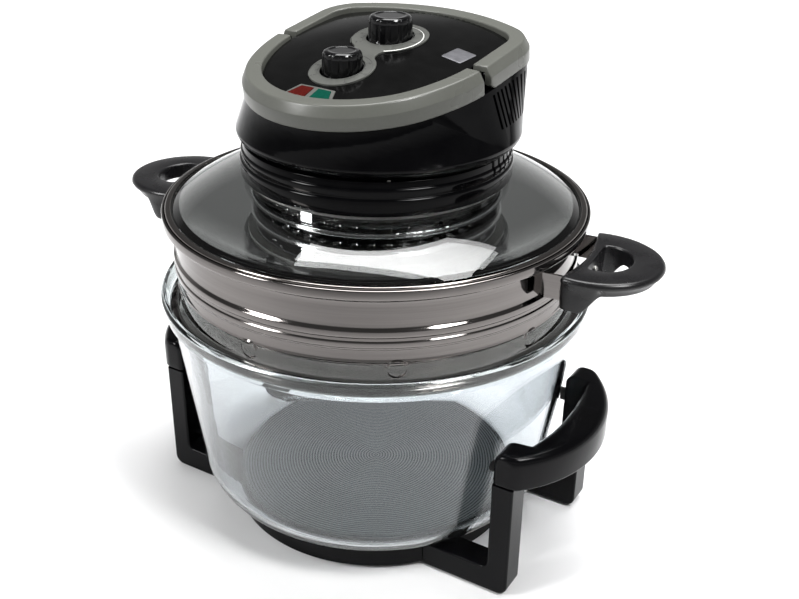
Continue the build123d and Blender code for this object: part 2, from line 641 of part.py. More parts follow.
def knob_bezel():
    """The figure-of-eight dial plate that follows the crown round both knobs."""
    timer = Pos(0, TIMER_Y) * Circle(TIMER_BEZEL_R)
    thermo = Pos(0, THERMO_Y) * Circle(THERMO_BEZEL_R)
    middle = (TIMER_Y + TIMER_BEZEL_R + THERMO_Y - THERMO_BEZEL_R) / 2
    plate = timer + thermo + Pos(0, middle) * Rectangle(22, 26)
    waist = [v for v in plate.vertices() if abs(abs(v.X) - 11) < 0.01]
    plate = fillet(waist, 9.0)
    for y, _, knob_r in KNOBS.values():
        plate -= Pos(0, y) * Circle(knob_r + WELL_GAP + 0.5)
    column = extrude(Pos(0, 0, 330) * plate, 90)
    return (column & on_top(dome(BEZEL))) - on_top(dome(0))


# ---- head working parts -------------------------------------------------------------
def collar():
    """The stepped black collar between the lid's glass and the housing."""
    body = turned(
        (COLLAR_R, COLLAR_Z, 1.2),
        (COLLAR_R + 0.3, 296.8, 0.8), (COLLAR_R - 1.0, 297.6), (COLLAR_R - 0.6, 303.8, 0.8),
        (COLLAR_R - 2.0, 304.6), (COLLAR_R - 2.4, HOUSING_Z), (UPSTAND_R, HOUSING_Z),
        (UPSTAND_R, HOUSING_WIDE_Z - 2), (UPSTAND_R - 2.5, HOUSING_WIDE_Z - 2),
        (UPSTAND_R - 2.5, FLOOR_TOP_Z, 2.0), (30.0, FLOOR_TOP_Z), (30.0, SHIELD_Z),
        (DOME_HOLE_R + 0.5, SHIELD_Z), (DOME_HOLE_R + 0.5, COLLAR_Z),
    )
    for angle in [a for a in range(0, 181, 5) if a not in (40, 130)]:
        body -= Rot(Z=angle) * block((96.6, 110), (-1.2, 1.2), (298.6, HOUSING_Z + 1))
    body -= screw_holes(6, CLAMP_SCREW_R, SHIELD_Z - 1, FLOOR_TOP_Z + 1)
    body -= screw_holes(3, SHIELD_SCREW_R, SHIELD_Z - 1, FLOOR_TOP_Z + 1, start=30)
    body -= screw_holes(4, HOUSING_SCREW_R, COLLAR_Z - 1, HOUSING_Z + 1, 1.5, 40)
    return body - screw_holes(4, HOUSING_SCREW_R, COLLAR_Z - 1, SHIELD_Z, 3.4, 40)


def housing_screws():
    """The four long screws up through the collar into the housing's foot."""
    one = Pos(HOUSING_SCREW_R, 0, SHIELD_Z) * Rot(X=180) * screw(1.5, HOUSING_Z + WALL - SHIELD_Z, 3.2, 2.2)
    return round_about(4, one, 40)


def heater_screws():
    """The short screws that hold the clamp ring and the reflector to the collar's floor."""
    clamp = Pos(CLAMP_SCREW_R, 0, SHIELD_Z - 1.2) * Rot(X=180) * screw(1.3, 3.4, 2.6, 1.4)
    shield = Pos(SHIELD_SCREW_R, 0, SHIELD_Z - SHIELD) * Rot(X=180) * screw(1.3, 3.0, 2.6, 1.4)
    return round_about(6, clamp) + round_about(3, shield, 30)


def heat_shield():
    """The polished reflector dish above the heater ring."""
    dish = turned(
        (9.0, SHIELD_Z), (SHIELD_R - 0.5, SHIELD_Z, 4.0), (SHIELD_R - 2.0, SHIELD_Z - 8),
        (SHIELD_R - 2.0 - SHIELD, SHIELD_Z - 8), (SHIELD_R - 1.3 - SHIELD, SHIELD_Z - SHIELD, 3.2),
        (9.0, SHIELD_Z - SHIELD),
    )
    dish -= screw_holes(3, SHIELD_SCREW_R, SHIELD_Z - 5, SHIELD_Z + 1, start=30)
    return dish - screw_holes(2, TUBE_RING_R, SHIELD_Z - 5, SHIELD_Z + 1, 2.6, 84)


def halogen_tube():
    """The quartz heater tube, bent to a ring that is open at the rear."""
    return Rot(Z=96) * revolve(Plane.XZ * Pos(TUBE_RING_R, TUBE_Z) * Circle(TUBE_R), Axis.Z, 348)


def tube_holders():
    """Two ceramic end blocks on the reflector that grip the ends of the tube."""
    base = block((TUBE_RING_R - 7, TUBE_RING_R + 7), (-5, 5), (TUBE_Z - 6.5, SHIELD_Z - SHIELD))
    base = chamfer(base.edges().filter_by(Axis.Z), 1.5)
    return [Rot(Z=angle) * base - halogen_tube() for angle in (84, 96)]


def guard_plate():
    """The perforated disc under the heater."""
    edge_r = GUARD_R - 3.2
    plate = turned((0, GUARD_Z + 1), (edge_r, GUARD_Z + 1), (edge_r, GUARD_Z + 2), (0, GUARD_Z + 2))
    holes = []
    for radius in (20.0, 32.0, 44.0, 56.0, 68.0, 80.0):
        count = round(2 * pi * radius / 12.0)
        hole = Pos(radius, 0, GUARD_Z + 1.5) * Cylinder(3.3, 4)
        holes += round_about(count, hole, start=radius)
    for hole in holes:
        plate -= hole
    return plate


def guard_rim():
    """The rolled wire-edge ring round the guard plate."""
    return turned(
        (GUARD_R, GUARD_Z, 1.6), (GUARD_R, GUARD_Z + 4.2, 1.6), (GUARD_R - 3.0, GUARD_Z + 4.2, 0.8),
        (GUARD_R - 3.0, GUARD_Z, 0.8),
    )


def guard_post():
    """A steel strap that hangs the guard from the collar."""
    foot_r = GUARD_R - 3.2
    strap_up = block((foot_r - 1.4, foot_r - 0.2), (-4.5, 4.5), (GUARD_Z + 2, 276.5))
    foot_tab = block((foot_r - 9, foot_r - 0.2), (-4.5, 4.5), (GUARD_Z + 2, GUARD_Z + 3))
    head_tab = block((foot_r - 9, foot_r - 0.2), (-4.5, 4.5), (275.5, 276.5))
    return strap_up + foot_tab + head_tab


def motor_frame():
    """The bracket that stands the motor on the collar's floor."""
    top = STACK_Z + STACK_H
    plate = extrude(Pos(0, 0, FLOOR_TOP_Z) * RectangleRounded(96, 40, 6), 1.5)
    for side in (-1, 1):
        plate += block(sorted((side * 34, side * 36)), (-9, 9), (FLOOR_TOP_Z + 1.5, top + 1.5))
        plate += block(sorted((side * 28, side * 36)), (-9, 9), (top, top + 1.5))
        plate += block(sorted((side * 28, side * 34)), (-9, 9), (FLOOR_TOP_Z + 1.5, STACK_Z))
    return plate - rod(9.4, FLOOR_TOP_Z - 1, FLOOR_TOP_Z + 3)


def motor_stator():
    """The laminated stack of the shaded-pole motor, with a window for the coil."""
    stack = extrude(Pos(0, 0, STACK_Z) * (Rectangle(62, 44) - Circle(ROTOR_R + 0.6)), STACK_H)
    return stack - block((-16, 16), (15.0, 19.0), (STACK_Z - 1, STACK_Z + STACK_H + 1))


def motor_coil():
    """The coil wound on the stator's rear leg."""
    coil = block((-15.5, 15.5), (15.2, 26.0), (STACK_Z - 4, STACK_Z + STACK_H + 4))
    coil = fillet(coil.edges().filter_by(Axis.X), 3.0)
    return coil - block((-20, 20), (19.0, 22.0), (STACK_Z, STACK_Z + STACK_H))


def shaft_bush():
    """The sintered bearing that carries the shaft in the motor's bracket."""
    return tube(9.4, SHAFT_R + 0.05, FLOOR_TOP_Z, FLOOR_TOP_Z + 5)


def fan(count, hub_r, tip_r, pitch, height, thick, z):
    """A fan about Z: pitched blades on a hub."""
    hub = rod(hub_r, z, z + height)
    blade = Box(tip_r - hub_r + 2, height * 1.5, thick)
    blade = Pos((tip_r + hub_r) / 2 - 1, 0, z + height / 2) * Rot(X=pitch) * blade
    for copy in round_about(count, blade):
        hub += copy
    return (hub & rod(tip_r, z, z + height)) - rod(SHAFT_R, z - 1, z + height + 1)


def thermal_cutout():
    """The disc thermal fuse that lies on the collar's floor beside the motor."""
    body = Pos(0, 48, FLOOR_TOP_Z) * (rod(8, 0, 7) + rod(11, 0, 1.2))
    tabs = [block((x - 2.4, x + 2.4), (47.6, 48.4), (FLOOR_TOP_Z + 6, FLOOR_TOP_Z + 14)) for x in (-5, 5)]
    return body + tabs[0] + tabs[1]


def switch_case(width, depth):
    """A timer or thermostat body with its threaded bush, its top face at the origin."""
    case = extrude(RectangleRounded(width, width, 3), -depth)
    bush = rod(SPINDLE_R + 1.6, 0, 2.4)
    return case + bush - rod(SPINDLE_R + 0.05, -14, 10)


def knob(radius):
    """A scalloped, slightly tapered knob with a rounded top, its underside at the origin."""
    top_r = radius - KNOB_TAPER
    body = turned((0, 0), (radius, 0, 0.5), (top_r, KNOB_H, 1.6), (0, KNOB_H))
    for copy in round_about(14, Pos(radius + 2.5, 0, 8) * rod(3.4, 0, KNOB_H)):
        body -= copy
    dish_r = top_r - 4.0
    dish = turned((0, KNOB_H - 0.8), (dish_r, KNOB_H - 0.8), (dish_r + 1, KNOB_H + 1), (0, KNOB_H + 1))
    return body - dish - rod(SPINDLE_R, -1, KNOB_H - 5)


def spindle():
    """A knob's spindle, from inside its switch up into the knob."""
    return rod(SPINDLE_R, -SPINDLE_DROP, KNOB_H - 5)


def switch_body():
    """The microswitch that the safety handle works, under the deck."""
    case = block((PLUNGER_X - 14, PLUNGER_X - 5), (PLUNGER_Y - 11, PLUNGER_Y + 11), (-WALL - 19, -WALL))
    arm = block((PLUNGER_X - 5, PLUNGER_X + 1.5), (PLUNGER_Y - 3, PLUNGER_Y + 3), (-WALL - 12, -WALL - 10.6))
    return on_top(case + arm)


def switch_plunger():
    """The pin through the deck that the closed handle holds down."""
    pin = extrude(Circle(PLUNGER_R), 0.4 + WALL + 8.0)
    pin = fillet(pin.edges().sort_by(Axis.Z)[-1], 0.6)
    collar_ring = Pos(0, 0, 3.0) * extrude(Circle(PLUNGER_R + 1.2), 1.0)
    return on_top(Pos(PLUNGER_X, PLUNGER_Y, -WALL - 8.0) * (pin + collar_ring))


def cord_gland():
    """The bush in the housing's rear wall where a supply lead would enter."""
    wall_y = HOUSING_R + HOUSING_Y
    nose = rod(GLAND_R, wall_y - 16, wall_y + 8)
    nose = fillet(nose.edges().sort_by(Axis.Z)[-1], 1.5)
    flange = rod(GLAND_FLANGE_R, wall_y - 12, wall_y)
    to_rear = Pos(0, 0, GLAND_Z) * Rot(X=-90)
    flange = (to_rear * flange) - shell_form(0, 0)
    return flange + to_rear * nose - to_rear * rod(3.6, wall_y - 20, wall_y + 10)


def make_head():
    fixed = {
        "collar": collar(), "housing_screws": housing_screws(), "housing": housing(),
        "front_trim": front_trim(), "hinge_pins": hinge_pins(), "control_panel": control_panel(),
        "knob_bezel": knob_bezel(), "indicator_bezel": indicator_bezel(), "power_lens": lens(-1),
        "heat_lens": lens(1), "neon_lamps": [neon_lamp(-1), neon_lamp(1)], "microswitch": switch_body(),
        "cord_gland": cord_gland(),
    }
    for name, shape in fixed.items():
        save(name, shape, HEAD_TURN)
    save("safety_handle", safety_handle(), HEAD_TURN)
    save("switch_plunger", switch_plunger(), HEAD_TURN)
    for name, (y, top_z, knob_r) in KNOBS.items():
        seat = Pos(0, y, top_z - KNOB_H)
        save(name + "_knob", seat * knob(knob_r), HEAD_TURN)
        save(name + "_shaft", seat * spindle(), HEAD_TURN)
        save(name + "_body", seat * Pos(0, 0, -CASE_DROP) * switch_case(36, 18), HEAD_TURN)


def make_heater():
    fixed = {
        "heat_shield": heat_shield(), "heater_screws": heater_screws(), "halogen_tube": halogen_tube(),
        "tube_holders": tube_holders(), "guard_plate": guard_plate(), "guard_rim": guard_rim(),
        "guard_posts": round_about(4, guard_post(), 3), "motor_frame": motor_frame(),
        "motor_stator": motor_stator(), "motor_coil": motor_coil(), "shaft_bush": shaft_bush(),
        "thermal_cutout": thermal_cutout(),
    }
    turning = {
        "motor_shaft": rod(SHAFT_R, FAN_Z - 5, COOLER_Z + 11),
        "motor_rotor": tube(ROTOR_R, SHAFT_R, STACK_Z, STACK_Z + STACK_H),
        "convection_fan": fan(6, 9, 48, 35, 10, 1.2, FAN_Z),
        "cooling_fan": fan(7, 7, 42, 35, 9, 1.2, COOLER_Z),
        "fan_nut": extrude(Pos(0, 0, FAN_Z - 3.5) * (RegularPolygon(4.6, 6) - Circle(SHAFT_R)), 3.5),
    }
    for name, shape in {**fixed, **turning}.items():
        save(name, shape, HEAD_TURN)


os.makedirs("parts", exist_ok=True)
make_stand()
save("glass_bowl", glass_bowl())
make_extender()
make_lid()
make_head()
make_heater()
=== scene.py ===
import bmesh
import bpy
import numpy as np
from mathutils import Matrix, Vector


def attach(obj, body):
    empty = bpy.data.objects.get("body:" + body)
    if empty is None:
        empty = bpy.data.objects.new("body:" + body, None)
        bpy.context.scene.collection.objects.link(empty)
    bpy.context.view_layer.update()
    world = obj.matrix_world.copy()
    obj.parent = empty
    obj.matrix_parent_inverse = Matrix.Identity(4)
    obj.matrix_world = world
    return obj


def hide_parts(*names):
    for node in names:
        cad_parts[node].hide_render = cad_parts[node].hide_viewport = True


# Halogen oven: glass bowl in a moulded stand, steel extender ring, glass lid with the heater
# head. Lengths in the shape functions are millimetres; the meshes are metres. The bars of the
# stand run along X, the front faces -Y, and the head and the ring are set down a little turned.

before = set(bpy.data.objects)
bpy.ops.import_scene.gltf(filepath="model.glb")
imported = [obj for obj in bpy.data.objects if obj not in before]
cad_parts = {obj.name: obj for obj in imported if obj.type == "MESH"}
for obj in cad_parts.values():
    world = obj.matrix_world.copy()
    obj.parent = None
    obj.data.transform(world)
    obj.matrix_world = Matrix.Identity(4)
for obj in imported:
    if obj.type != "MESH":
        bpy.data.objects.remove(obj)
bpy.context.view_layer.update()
MM = 0.001
TILT = np.radians(8.2)                          # slope of the head's top, front low
DECK_Z = 355.0                                  # the sloping deck's height on the axis
HEAD_TURN = np.radians(-3.0)                    # how the head is set down on the ring
RING_TURN = np.radians(5.0)                     # how the ring is set down on the bowl
PANEL_H, PANEL_R, PANEL_Y = 19.5, 560.0, 12.0   # the panel's crown: height, radius, middle
TIMER_Y, THERMOSTAT_Y = -41.0, 16.0             # the knobs' places on the deck
TIMER_R, THERMOSTAT_R = 14.6, 16.4              # the knobs' radii


# ---- camera, floor and light --------------------------------------------------------
def studio():
    """Camera, pale floor, a large soft box high over the rear, two narrow-beamed boxes from
    the front left and the right, and a sky that is pale at the horizon and dim above."""
    scene = bpy.context.scene
    scene.view_settings.view_transform = "Standard"
    camera = bpy.data.objects.new("camera", bpy.data.cameras.new("camera"))
    right, up = (0.85410, 0.51995, 0.01265), (-0.24695, 0.38402, 0.88969)
    ahead = (-0.45774, 0.76300, -0.45640)
    turn = Matrix([right, up, [-a for a in ahead]]).transposed().to_4x4()
    camera.matrix_world = Matrix.Translation((0.40756, -0.64412, 0.56439)) @ turn
    sensor, pixels_wide, focal_pixels = 36.0, 799, 1086.5
    camera.data.sensor_width, camera.data.lens = sensor, focal_pixels / pixels_wide * sensor
    camera.data.clip_start, camera.data.clip_end = 0.02, 60
    scene.collection.objects.link(camera)
    scene.camera = camera

    reach = 9
    floor = bpy.data.meshes.new("floor")
    floor.from_pydata([(x * reach, y * reach, 0.0) for x, y in ((-1, -1), (1, -1), (1, 1), (-1, 1))],
                      [], [(0, 1, 2, 3)])
    floor = bpy.data.objects.new("floor", floor)
    scene.collection.objects.link(floor)
    floor.data.materials.append(pale_floor())

    boxes = (  # name, place, aimed at, size, watts, spread in degrees
        ("overhead_box", (-0.15, 1.03, 3.0), (-0.35, 1.9, 0.0), (2.4, 1.9), 105, 125),
        ("left_box", (-1.0, -1.5, 1.35), (0.0, 0.0, 0.3), (0.5, 1.3), 2.6, 36),
        ("right_box", (1.25, -0.3, 2.0), (0.0, 0.0, 0.3), (0.6, 1.1), 3.0, 36),
    )
    for name, place, target, size, power, spread in boxes:
        lamp = bpy.data.lights.new(name, "AREA")
        lamp.shape, lamp.size, lamp.size_y, lamp.energy = "RECTANGLE", *size, power
        lamp.spread = np.radians(spread)
        lamp = bpy.data.objects.new(name, lamp)
        aim = Vector(place) - Vector(target)
        lamp.matrix_world = Matrix.Translation(place) @ aim.to_track_quat("Z", "Y").to_matrix().to_4x4()
        scene.collection.objects.link(lamp)

    sky = bpy.data.worlds.new("sky")
    sky.use_nodes = True
    tree = sky.node_tree
    direction = add(tree, "TexCoord", {})
    height = add(tree, "SeparateXYZ", {"Vector": direction.outputs["Generated"]})
    fade = add(tree, "MapRange", {"Value": height.outputs["Z"], "From Min": 0.05, "From Max": 0.35,
                                  "To Min": 0.85, "To Max": 0.14})
    tree.links.new(fade.outputs[0], tree.nodes["Background"].inputs["Strength"])
    tree.nodes["Background"].inputs["Color"].default_value = linear("f6f6f6")
    scene.world = sky


# ---- materials ----------------------------------------------------------------------
def linear(code):
    """An sRGB hex colour as the linear colour that the shaders take."""
    c = np.array([int(code[i:i + 2], 16) for i in (0, 2, 4)]) / 255
    return (*np.where(c <= 0.04045, c / 12.92, ((c + 0.055) / 1.055) ** 2.4), 1.0)


def add(tree, kind, settings):
    """One node; a setting is an attribute, a socket's value, or the output that feeds it."""
    node = tree.nodes.new("ShaderNode" + kind)
    for key, value in settings.items():
        if isinstance(key, str) and hasattr(node, key):
            setattr(node, key, value)
        elif isinstance(value, bpy.types.NodeSocket):
            tree.links.new(value, node.inputs[key])
        else:
            node.inputs[key].default_value = value
    return node


HAZE_SPAN = 14          # how much wider the handling haze is than the grain


def finish(name, dark, light, gloss, grain, relief, stretch=(1, 1, 1), fixed=(), detail=3.0):
    """A material from two noises: a fine one (grain, mm) mottles the colour between two hex
    shades and the height by relief (mm); a broad one is the handling haze that moves the
    roughness between two limits. fixed holds plain constants."""
    material = bpy.data.materials.new(name)
    material.use_nodes = True
    tree = material.node_tree
    shader = tree.nodes["Principled BSDF"]
    place = add(tree, "TexCoord", {})
    spread = add(tree, "Mapping", {"Vector": place.outputs["Object"], "Scale": stretch})
    speck = add(tree, "TexNoise", {"Vector": spread.outputs[0], "Scale": 1000 / grain, "Detail": detail})
    haze = add(tree, "TexNoise", {"Vector": place.outputs["Object"], "Scale": 1000 / (HAZE_SPAN * grain),
                                  "Detail": 2.0})
    shade = add(tree, "MapRange", {"Value": speck.outputs["Fac"], "From Min": 0.3, "From Max": 0.7})
    colour = add(tree, "Mix", {"data_type": "RGBA", 0: shade.outputs[0], 6: linear(dark), 7: linear(light)})
    rough = add(tree, "MapRange", {"Value": haze.outputs["Fac"], "From Min": 0.3, "From Max": 0.7,
                                   "To Min": gloss[0], "To Max": gloss[1]})
    bump = add(tree, "Bump", {"Height": speck.outputs["Fac"], "Distance": relief * MM, "Strength": 1.0})
    tree.links.new(colour.outputs[2], shader.inputs["Base Color"])
    tree.links.new(rough.outputs[0], shader.inputs["Roughness"])
    tree.links.new(bump.outputs[0], shader.inputs["Normal"])
    for key, value in dict(fixed).items():
        shader.inputs[key].default_value = value
    return material


def pale_floor():
    """Matt painted board: nearly white, with the faintest mottle."""
    return finish("painted_board", "ebebec", "efefef", (0.8, 0.9), 400, 0.0,
                  fixed={"Specular IOR Level": 0.2})


def ringed_glass():
    """Pressed borosilicate: clear and faintly grey, darker green-grey where the lip is looked
    through edgeways, with the mould's turning rings in the disc of the bowl's floor: the disc
    is a little hazy, and each groove bends what is seen through it and carries painted shade,
    its colour mixed darker. The rings are drawn 2.3 mm apart, wide enough to show."""
    pitch, disc_edge, disc_end = 2.3 * MM, 0.108, 0.115
    floor_top, floor_end, lip_start, lip_full = 0.030, 0.034, 0.178, 0.186
    material = finish("pressed_borosilicate_bowl", "dde1e4", "e3e7e9", (0.0, 0.02), 60, 0.04,
                      fixed={"Transmission Weight": 1.0, "IOR": 1.47})
    tree = material.node_tree
    shader, place = tree.nodes["Principled BSDF"], tree.nodes["Texture Coordinate"]
    body = shader.inputs["Base Color"].links[0].from_socket
    where = place.outputs["Object"]
    rings = add(tree, "TexWave", {"wave_type": "RINGS", "rings_direction": "Z", "Vector": where,
                                  "Scale": 2 * np.pi / (20 * pitch), "Distortion": 1.5, "Detail": 2.0,
                                  "Detail Scale": 0.3})
    height = add(tree, "SeparateXYZ", {"Vector": where})
    flat = add(tree, "VectorMath", {"operation": "MULTIPLY", 0: where, 1: (1, 1, 0)})
    reach = add(tree, "VectorMath", {"operation": "LENGTH", 0: flat.outputs[0]})
    inside = add(tree, "MapRange", {"Value": reach.outputs["Value"], "From Min": disc_edge,
                                    "From Max": disc_end, "To Min": 1.0, "To Max": 0.0})
    below = add(tree, "MapRange", {"Value": height.outputs["Z"], "From Min": floor_top,
                                   "From Max": floor_end, "To Min": 1.0, "To Max": 0.0})
    disc = add(tree, "Math", {"operation": "MULTIPLY", 0: inside.outputs[0], 1: below.outputs[0]})
    lip = add(tree, "MapRange", {"Value": height.outputs["Z"], "From Min": lip_start, "From Max": lip_full})
    groove = add(tree, "Math", {"operation": "MULTIPLY", 0: rings.outputs["Fac"], 1: disc.outputs[0]})
    edge = add(tree, "Mix", {"data_type": "RGBA", 0: lip.outputs[0], 6: body, 7: linear("cfd6d6")})
    # painted shade: the colour is mixed towards a darker grey in each groove of the floor's rings
    groove_shaded = add(tree, "Mix", {"data_type": "RGBA", 0: groove.outputs[0], 6: edge.outputs[2],
                                7: linear("8f969b")})
    bump = add(tree, "Bump", {"Height": groove.outputs[0], "Distance": 0.1 * MM, "Strength": 1.0,
                              "Normal": tree.nodes["Bump"].outputs[0]})
    clear = add(tree, "MapRange", {"Value": disc.outputs[0], "To Min": 1.0, "To Max": 0.6})
    tree.links.new(clear.outputs[0], shader.inputs["Transmission Weight"])
    tree.links.new(groove_shaded.outputs[2], shader.inputs["Base Color"])
    tree.links.new(bump.outputs[0], shader.inputs["Normal"])
    return material


def tempered_glass():
    """Bent and tempered soda-lime glass: clear, with the slow waves of the bending mould."""
    return finish("tempered_lid_glass", "f2f4f3", "f6f8f7", (0.0, 0.012), 70, 0.06,
                  fixed={"Transmission Weight": 1.0, "IOR": 1.5})


def rolled_stainless(name, dark, light, gloss):
    """Polished stainless sheet, rolled to a ring: warm mirror with fine lines round it. The
    rolling lines are 1.2 mm apart, coarser than real ones, so that they show."""
    round_z = (0.012, 0.012, 1)
    return finish(name, dark, light, gloss, 1.2, 0.0012, round_z, METAL, 2.0)


METAL = {"Metallic": 1.0}
GLOSS = {"IOR": 1.5, "Specular IOR Level": 0.4}     # mouldings that show their highlights
DEEP = {"IOR": 1.5, "Specular IOR Level": 0.12}     # blacks and lenses that swallow the room
surface = {
    # satin ABS moulding, spark-eroded: 0.8 mm grain, drawn coarse, softens the highlights
    "stand_plastic": finish("moulded_abs_satin", "050506", "08080a", (0.12, 0.2), 0.8, 0.003, fixed=DEEP),
    "bowl_glass": ringed_glass(),
    "lid_glass": tempered_glass(),
    "ring_steel": rolled_stainless("rolled_stainless_ring", "777371", "7f7b79", (0.05, 0.1)),
    "rim_steel": rolled_stainless("rolled_stainless_rim", "8c8784", "95908d", (0.08, 0.13)),
    # phenolic moulding: warm black, with mineral filler showing as sparse 1 mm paler specks
    "grip_plastic": finish("moulded_phenolic", "0b0b0c", "161517", (0.24, 0.34), 1.1, 0.015, fixed=GLOSS),
    # high-gloss ABS: near-black mirror with the slight orange peel of the tool's polish
    "gloss_black": finish("polished_abs_black", "030304", "060607", (0.05, 0.1), 14, 0.01, fixed=DEEP),
    # the same plastic, handled more: a broader sheen with faint waves 12 mm wide
    "panel_black": finish("polished_abs_panel", "060606", "0b0b0b", (0.1, 0.16), 12, 0.008, fixed=DEEP),
    # sprayed warm grey: semi-gloss paint over a moulding, soft long highlights
    "trim_grey": finish("sprayed_abs_grey", "545550", "565752", (0.26, 0.32), 2.2, 0.002, fixed=GLOSS,
                        detail=1.0),
    # the dial plate and the lens frame have the same paint, a shade darker and flatter
    "dial_grey": finish("sprayed_dial_grey", "484946", "4d4e4a", (0.36, 0.42), 2.0, 0.002, fixed=GLOSS,
                        detail=1.0),
    # glossy ABS moulding: sharp small highlights down the knobs' grooves
    "knob_black": finish("moulded_abs_gloss_knob", "050506", "09090a", (0.09, 0.15), 1.2, 0.004, fixed=GLOSS),
    # coloured acrylic over unlit lamps: deep colour, its fine prisms drawn 1.4 mm wide
    "lens_red": finish("moulded_acrylic_red", "3a0b08", "46100c", (0.14, 0.22), 1.4, 0.05, fixed=DEEP),
    "lens_green": finish("moulded_acrylic_green", "02352a", "043f32", (0.14, 0.22), 1.4, 0.05, fixed=DEEP),
    # zinc-plated screws and brackets: pale metal with a fine crystalline bloom
    "zinc_steel": finish("zinc_plated_steel", "8f8f8c", "b4b4ae", (0.28, 0.42), 0.8, 0.01, fixed=METAL),
    # moulded rubber feet: dull charcoal with a dusty grain
    "rubber": finish("moulded_rubber", "121212", "1d1d1d", (0.75, 0.9), 1.2, 0.04, fixed=GLOSS),
    # moulded silicone gasket: grey, soft sheen
    "silicone": finish("moulded_silicone", "7d7d7b", "8b8b88", (0.5, 0.62), 2.5, 0.03, fixed=GLOSS),
    # spun bright aluminium: a pale, slightly blurred mirror
    "reflector": finish("bright_aluminium", "c6c7c9", "dcdddf", (0.1, 0.2), 3.0, 0.02, fixed=METAL),
    # drawn quartz tube: clear, with slow waves along its wall
    "quartz": finish("drawn_quartz_tube", "f4f4f2", "fafaf8", (0.0, 0.03), 9, 0.02,
                     fixed={"Transmission Weight": 1.0, "IOR": 1.46}),
    # pressed and fired steatite: chalky cream with a sandy grain
    "steatite": finish("pressed_steatite", "cfc8b8", "e0dacd", (0.6, 0.75), 0.7, 0.04, fixed=GLOSS),
    # nickel-plated sheet: neutral mirror, a little milky
    "guard_steel": finish("nickel_plated_guard", "8f8f90", "a6a6a7", (0.1, 0.18), 2.0, 0.008, fixed=METAL),
    # stacked and varnished motor sheets: fine level lines, drawn 0.5 mm apart
    "lamination": finish("varnished_laminations", "2c2d30", "55565a", (0.35, 0.5), 0.5, 0.05,
                         (0.02, 0.02, 1), METAL),
    # enamelled copper wire, wound: red-brown strands, drawn 0.5 mm wide
    "copper": finish("enamelled_copper_wire", "6e2f14", "a5552a", (0.2, 0.3), 0.5, 0.12, (0.02, 1, 1), METAL),
    # sintered bronze: brown-gold and open-grained
    "bronze": finish("sintered_bronze", "7c5b2a", "a07d45", (0.4, 0.55), 0.4, 0.03, fixed=METAL),
    # moulded polyester: ivory, satin
    "switch_plastic": finish("moulded_polyester", "c2bcae", "cfc9bc", (0.45, 0.55), 1.0, 0.03, fixed=GLOSS),
    # pad-printed ink: matt off-white or dark grey, a hair above the plate
    "white_ink": finish("pad_printed_ink", "c9cac6", "dadbd7", (0.5, 0.6), 0.6, 0.004, fixed=GLOSS),
    "dark_ink": finish("pad_printed_dark_ink", "3a3b39", "454644", (0.5, 0.6), 0.6, 0.004, fixed=GLOSS),
    # bare rating plate: brushed anodised aluminium, lines across its width
    "plate": finish("brushed_anodised_plate", "626266", "76767a", (0.3, 0.42), 0.5, 0.004, (0.05, 1, 1),
                    {"Metallic": 0.6}),
}


# ---- shape helpers ------------------------------------------------------------------
def eased(corners, steps=7):
    """A closed outline from corners (u, v, radius). Each corner becomes the arc of its radius
    that touches both sides: centre on the bisector at radius / sin(half angle)."""
    c = np.array([(*k, 0.0)[:3] for k in corners], float)
    p, r = c[:, :2], np.maximum(c[:, 2:], 1e-3)
    a, b = np.roll(p, 1, 0) - p, np.roll(p, -1, 0) - p
    a, b = a / np.linalg.norm(a, axis=1)[:, None], b / np.linalg.norm(b, axis=1)[:, None]
    half = np.arccos(np.clip((a * b).sum(1), -0.999999, 0.999999))[:, None] / 2
    centre = p + (a + b) / np.linalg.norm(a + b, axis=1)[:, None] * r / np.sin(half)
    start, end = p + a * r / np.tan(half) - centre, p + b * r / np.tan(half) - centre
    swing = (np.pi - 2 * half)[:, None, :]
    t = np.linspace(0, 1, steps)[None, :, None]
    arc = (np.sin((1 - t) * swing) * start[:, None] + np.sin(t * swing) * end[:, None]) / np.sin(swing)
    return (centre[:, None] + arc).reshape(-1, 2)


def spaced(loop, step, band=(0, 0, 0)):
    """The closed outline with points added so that no side is longer than step, nor than
    0.7 mm past the radius and between the two heights of band."""
    ring = np.vstack([loop, loop[:1]])
    run = np.r_[0, np.cumsum(np.linalg.norm(np.diff(ring, axis=0), axis=1))]
    place = lambda at: np.stack([np.interp(at, run, ring[:, k]) for k in (0, 1)], 1)
    dense = np.arange(0, run[-1], 0.7)
    radius, height = place(dense).T
    dense = dense[(radius > band[0]) & (height > band[1]) & (height < band[2])]
    return place(np.unique(np.r_[run, np.arange(0, run[-1], step), dense].round(5)))


